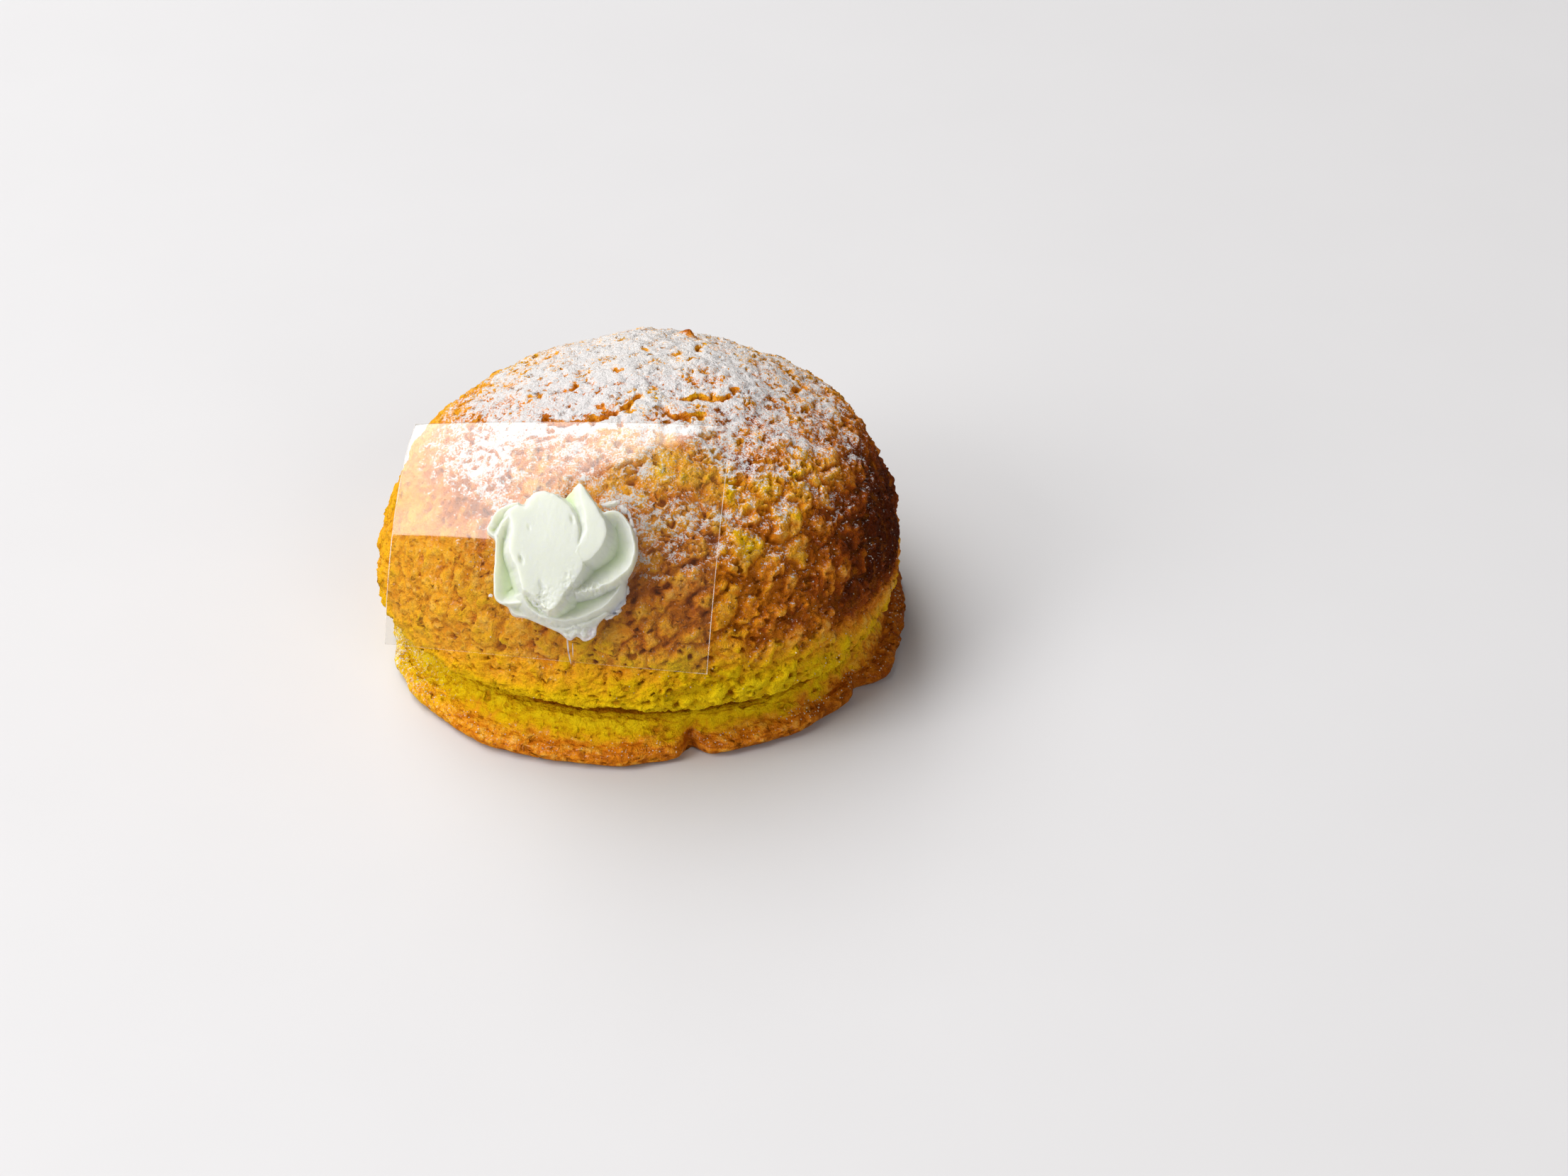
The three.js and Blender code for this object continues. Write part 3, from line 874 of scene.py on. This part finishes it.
def nearest_on_line(flat, line):
    """Distance to a line, whether to its right, the line's height there, and how far past its ends."""
    best = np.full(len(flat), 1e9)
    right = np.zeros(len(flat), bool)
    level = np.zeros(len(flat))
    for start, end in zip(line, line[1:]):
        run = end - start
        offset = flat - start[:2]
        share = np.clip(offset @ run[:2] / (run[:2] @ run[:2]), 0, 1)
        gap = np.hypot(offset[:, 0] - share * run[0], offset[:, 1] - share * run[1])
        closer = gap < best
        best = np.where(closer, gap, best)
        right = np.where(closer, run[0] * offset[:, 1] < run[1] * offset[:, 0], right)
        level = np.where(closer, (start + share[:, None] * run)[:, -1], level)
    first, last = line[1] - line[0], line[-1] - line[-2]
    before = -(flat - line[0, :2]) @ first[:2] / np.linalg.norm(first[:2])
    after = (flat - line[-1, :2]) @ last[:2] / np.linalg.norm(last[:2])
    at_first = np.hypot(*(flat - line[0, :2]).T) <= best + 1e-6
    at_last = np.hypot(*(flat - line[-1, :2]).T) <= best + 1e-6
    past = np.where(at_first, before, 0) + np.where(at_last, after, 0)
    return best, right, level, np.maximum(past, 0)


def inside_line(flat, line):
    """Whether points lie inside a closed line."""
    inside = np.zeros(len(flat), bool)
    for start, end in zip(line, line[1:]):
        spans = (start[1] > flat[:, 1]) != (end[1] > flat[:, 1])
        crossing = start[0] + (flat[:, 1] - start[1]) / (end[1] - start[1] + 1e-12) * (end[0] - start[0])
        inside ^= spans & (flat[:, 0] < crossing)
    return inside


def cream_height(flat):
    """Height off the sheet, and how deep between folds, 0 to 1, which sets the cream's painted shade tint."""
    spread = np.column_stack([flat, np.zeros(len(flat))])
    warp = np.stack([noise_field(spread, 2.6, 2, shift=s) for s in (2, 14)], axis=1)
    ragged = np.stack([noise_field(spread, 0.7, 2, shift=s) for s in (31, 44)], axis=1)
    tear = np.zeros(len(flat))
    for share, x, y, wide, tall, reach in tears:
        gap = np.hypot((flat[:, 0] - x) / wide, (flat[:, 1] - y) / tall)
        tear += share * np.exp(-(gap / reach) ** 2)
    placed = flat + 0.16 * warp + (0.05 + 0.3 * np.clip(tear, 0, 1))[:, None] * ragged
    crest_radius = 0.2
    least_height = 0.8
    heights = [np.full(len(flat), least_height)]
    hollow_shades = [np.zeros(len(flat))]
    for fall, width, steep, stops in folds:
        gap, right, level, past = nearest_on_line(placed, smooth_line(stops))
        gap = np.sqrt(gap**2 + crest_radius**2) - crest_radius
        dip = 1 - np.exp(-gap / width)
        heights.append(level - np.where(right, fall * dip, steep * gap) - 2.0 * past)
        hollow_shades.append(np.where(right, dip, 0.1))
    plane = flat_top + 0.03 * flat[:, 0] - 0.02 * (flat[:, 1] + 5)
    streaks = noise_field(drawn_out(spread, (0.15, 1, 0), 4), 1.2, 2, shift=51)
    plane += 0.014 * streaks + 0.12 * noise_field(spread, 6, 1, shift=77)
    for outline, wall in ((pressed_middle, 2.6), (pressed_petal, 3.0)):
        line = smooth_line(outline, closed=True)
        gap = nearest_on_line(placed, line)[0]
        outside = np.where(inside_line(placed, line), 0, gap)
        top = plane - wall * outside - 0.12 * np.exp(-gap / 0.25)
        hollow_shade = smoothstep(0.3, 1.6, outside) * 0.55
        if outline is pressed_petal:
            gap, right = nearest_on_line(placed, smooth_line(petal_slope))[:2]
            sloped = np.where(right, gap, 0)
            top = top - 1.15 * np.sqrt(sloped**2 + 0.04) + 0.23
            hollow_shade = np.maximum(hollow_shade, smoothstep(0.3, 2.2, sloped))
        heights.append(top)
        hollow_shades.append(hollow_shade)
    heights = np.array(heights)
    hollow_shades = np.array(hollow_shades)
    sharpness = 7.0
    blend = np.exp(sharpness * (heights - heights.max(axis=0)))
    height = heights.max(axis=0) + np.log(blend.sum(axis=0)) / sharpness
    hollow_shade = (hollow_shades * blend).sum(axis=0) / blend.sum(axis=0)
    for x, y, wide, deep in nicks:
        across = (flat[:, 0] - x + 0.4 * (flat[:, 1] - y)) / wide
        along = (flat[:, 1] - y) / (1.8 * wide)
        height -= deep * np.exp(-(across**2) - along**2)
    torn_edge = np.exp(-(np.hypot(flat[:, 0] + 0.5, flat[:, 1] + 13.7) / 1.6) ** 2)
    height += 0.3 * np.clip(tear, 0, 1) * ragged[:, 0] - 0.9 * torn_edge
    return np.maximum(height, 0.5), hollow_shade


def rosette_places(directions):
    """The ball's top spread over the outline and lifted to the folds, its foot drawn into the neck."""
    line = smooth_line(rosette_outline, closed=True)[:-1] - rosette_middle
    angles = np.arctan2(line[:, 1], line[:, 0])
    order = np.argsort(angles)
    angle = np.arctan2(directions[:, 1], directions[:, 0])
    rim = np.interp(angle, angles[order], np.hypot(*line[order].T), period=math.tau)
    around = np.stack([np.cos(angle), np.sin(angle)], axis=1)
    top_part = 1.6
    spread = np.sqrt(np.clip((1 - directions[:, 2]) / top_part, 0, 1))
    flat = rosette_middle + around * (spread * rim)[:, None]
    height, hollow_shade = cream_height(flat)
    edge_height = 0.3
    rounding = 0.03
    round_off = np.clip((spread - (1 - rounding)) / rounding, 0, 1) ** 2 * 0.75
    height = edge_height + (height - edge_height) * np.sqrt(1 - round_off)
    below = np.clip((-directions[:, 2] - (top_part - 1)) / (2 - top_part), 0, 1)
    # Down the foot: how far out it reaches, 1 the edge, 0 the neck's wall and -1 its middle, and
    # how high it lies, 1 the cream's height, 0 just off the sheet and -1 the neck's end.
    foot_hollow_shade = 0.3
    foot = np.array([
        (0, 1.0, 1.0), (0.4, 0.93, 0.05), (0.75, 0.0, 0.0), (0.93, 0.0, -1.0), (1.0, -1.0, -1.0),
    ])
    inward = np.interp(below, foot[:, 0], foot[:, 1])
    drop = np.interp(below, foot[:, 0], foot[:, 2])
    neck_radius = rosette_neck["radius"]
    outer_reach = neck_radius + (rim - neck_radius) * inward
    reach = np.where(inward >= 0, outer_reach, neck_radius * (1 + inward))
    upper_level = edge_height + (height - edge_height) * drop
    neck_level = edge_height + (edge_height - rosette_neck["depth"]) * drop
    level = np.where(drop >= 0, upper_level, neck_level)
    low = below > 0
    flat = np.where(low[:, None], rosette_middle + around * reach[:, None], flat)
    places = np.column_stack([flat, np.where(low, level, height)])
    return places, np.where(low, foot_hollow_shade, hollow_shade)


cream_mesh, cream_directions = even_ball("rosette", rosette_cuts)
cream_flat, cream_hollow = rosette_places(cream_directions)
set_places(cream_mesh, bent_places(cream_flat))


def whipped_cream():
    """Soft cream, greener down between the folds as a painted shade tint, with a few green specks."""
    material, shade = new_material("whipped_cream")
    at = shade.place()
    air = shade.grain(at, 0.0011, 4, 0.6)
    cloud = shade.grain(at, 0.004, 2, 0.5)
    # Painted shade tint down between the folds.
    deep = (shade.attribute("valley_shade") + (cloud - 0.5) * 0.3).between(0.25, 1.0)
    colour = deep.tinted((0.67, 0.69, 0.61), (0.64, 0.74, 0.46))
    specks = shade.pores(at, 0.006, 0.0005, 0.35)
    colour = colour.painted((0.55, 0.66, 0.10), specks * 0.7)
    shade.finish(
        {
            "Base Color": colour,
            "Roughness": 0.46,
            "Subsurface Weight": 0.8,
            "Subsurface Radius": (1.0, 1.0, 0.6),
            "Subsurface Scale": 0.003,
        },
        bump=air * 0.09,
    )
    return material


cream_material = whipped_cream()
rosette_piece = finished_piece("rosette_cream", cream_mesh, {"valley_shade": cream_hollow}, cream_material)
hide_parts("rosette")
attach(rosette_piece, "root")

# Dabs of the same cream beside the rosette: smears at its right, foam squeezed out below, specks,
# and three thin lines below it that are a painted glint.
# Each is an x and y on the sheet, half its length, width and height, and its turn in degrees.
dabs = [
    (14.0, 4.7, 0.9, 0.3, 0.25, -65), (14.7, 3.0, 1.0, 0.4, 0.3, -70), (15.5, 1.2, 0.9, 0.35, 0.3, -75),
    (16.0, -0.6, 0.9, 0.3, 0.25, -85), (16.3, -2.4, 0.6, 0.25, 0.2, -90), (14.3, -8.4, 1.2, 0.7, 0.7, -80),
    (14.7, -10.7, 1.2, 0.8, 0.8, -95), (14.1, -12.7, 1.1, 0.8, 0.7, -110), (13.4, -14.3, 1.1, 0.8, 0.6, -120),
    (12.1, -15.6, 1.2, 0.6, 0.5, -150), (10.3, 6.6, 1.6, 0.6, 0.5, 15), (12.8, 5.6, 1.2, 0.6, 0.4, -35),
    # These three thin lines are a painted glint on the sheet below the rosette.
    (4.3, -22.3, 1.7, 0.16, 0.12, -80), (4.8, -24.6, 1.2, 0.12, 0.1, -75), (5.3, -22.9, 1.3, 0.1, 0.1, -85),
    (14.8, -4.4, 0.4, 0.3, 0.25, 20), (-11.6, -13.6, 0.4, 0.3, 0.25, 0),
]


def cream_dabs():
    """Lumpy balls on the flat sheet, pulled out to the dabs' sizes."""
    blobs = bmesh.new()
    lift = 0.1
    for x, y, long, wide, high, turned in dabs:
        points = bmesh.ops.create_icosphere(blobs, subdivisions=4, radius=1)["verts"]
        c, s = math.cos(math.radians(turned)), math.sin(math.radians(turned))
        for v in points:
            lumpy = 1 + 0.5 * noise.noise(v.co * 1.6 + Vector((x, y, 0)))
            along, across = v.co.x * long * lumpy, v.co.y * wide * lumpy
            v.co = (x + along * c - across * s, y + along * s + across * c, lift + v.co.z * high * lumpy)
    return shaped_mesh("cream_dabs", blobs)


dab_mesh = cream_dabs()
dab_flat = mesh_places(dab_mesh)
set_places(dab_mesh, bent_places(dab_flat))
dab_piece = finished_piece("cream_dabs", dab_mesh, {"valley_shade": np.full(len(dab_flat), 0.2)}, cream_material)
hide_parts("rosette")
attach(dab_piece, "root")


# Stand: a plain pale floor, wide soft lamps above and at the left, and a camera that looks down
# at the front of the bun.
def plain_floor():
    """A wide floor, faintly mottled, that is left out of mirror images."""
    half_width = 15
    material, shade = new_material("pale_floor")
    colour = shade.grain(shade.place(), 0.05, 2).tinted((0.61, 0.60, 0.605), (0.63, 0.62, 0.625))
    shade.finish({"Base Color": colour, "Roughness": 0.6})
    floor = bmesh.new()
    bmesh.ops.create_grid(floor, x_segments=1, y_segments=1, size=half_width)
    mesh = shaped_mesh("floor", floor)
    mesh.materials.append(material)
    piece = bpy.data.objects.new("floor", mesh)
    piece.visible_glossy = False
    bpy.context.scene.collection.objects.link(piece)
    return piece


plain_floor()


def soft_lamp(name, place, aim, size, radiance):
    """A flat lamp of a size in metres that sends out an even radiance, unseen by the camera."""
    data = bpy.data.lights.new(name, "AREA")
    data.shape = "RECTANGLE"
    data.size, data.size_y = size
    data.energy = radiance * math.pi * size[0] * size[1]
    lamp = bpy.data.objects.new(name, data)
    lamp.location = place
    lamp.rotation_euler = (Vector(aim) - Vector(place)).to_track_quat("-Z", "Y").to_euler()
    lamp.visible_camera = False
    bpy.context.scene.collection.objects.link(lamp)


soft_lamp("top_lamp", (-2.19, 2.4, 3.3), (-2.19, 2.4, 0), (3.4, 9.0), 3.85)
soft_lamp("side_lamp", (-2.2, -1.35, 1.4), (0, 0, 0.03), (1.5, 1.3), 7.1)
soft_lamp("front_lamp", (1.15, -2.2, 1.4), (0, 0, 0.02), (1.3, 1.2), 3.5)

# The room gives a weak even light. Where it is seen past the floor's end it is as pale as the floor.
studio = bpy.data.worlds.new("studio")
studio.use_nodes = True
studio_nodes = studio.node_tree.nodes
studio_links = studio.node_tree.links
room = studio_nodes["Background"]
room.inputs[0].default_value = (1, 0.98, 0.96, 1)
room.inputs[1].default_value = 0.1
wall = studio_nodes.new("ShaderNodeBackground")
wall.inputs[0].default_value = (0.78, 0.78, 0.79, 1)
seen = studio_nodes.new("ShaderNodeLightPath")
either = studio_nodes.new("ShaderNodeMixShader")
studio_links.new(seen.outputs["Is Camera Ray"], either.inputs[0])
studio_links.new(room.outputs[0], either.inputs[1])
studio_links.new(wall.outputs[0], either.inputs[2])
studio_links.new(either.outputs[0], studio_nodes["World Output"].inputs[0])
bpy.context.scene.world = studio

# The camera looks down by the angle of its elevation above the bun.
camera_elevation = 32.81
camera_data = bpy.data.cameras.new("camera")
camera_data.sensor_width = 36
camera_data.lens = 89.5
camera = bpy.data.objects.new("camera", camera_data)
camera.location = (0.0287, -0.6891, 0.4525)
camera.rotation_euler = (math.radians(90 - camera_elevation), 0, 0)
bpy.context.scene.collection.objects.link(camera)
bpy.context.scene.camera = camera
bpy.context.scene.view_settings.view_transform = "Standard"
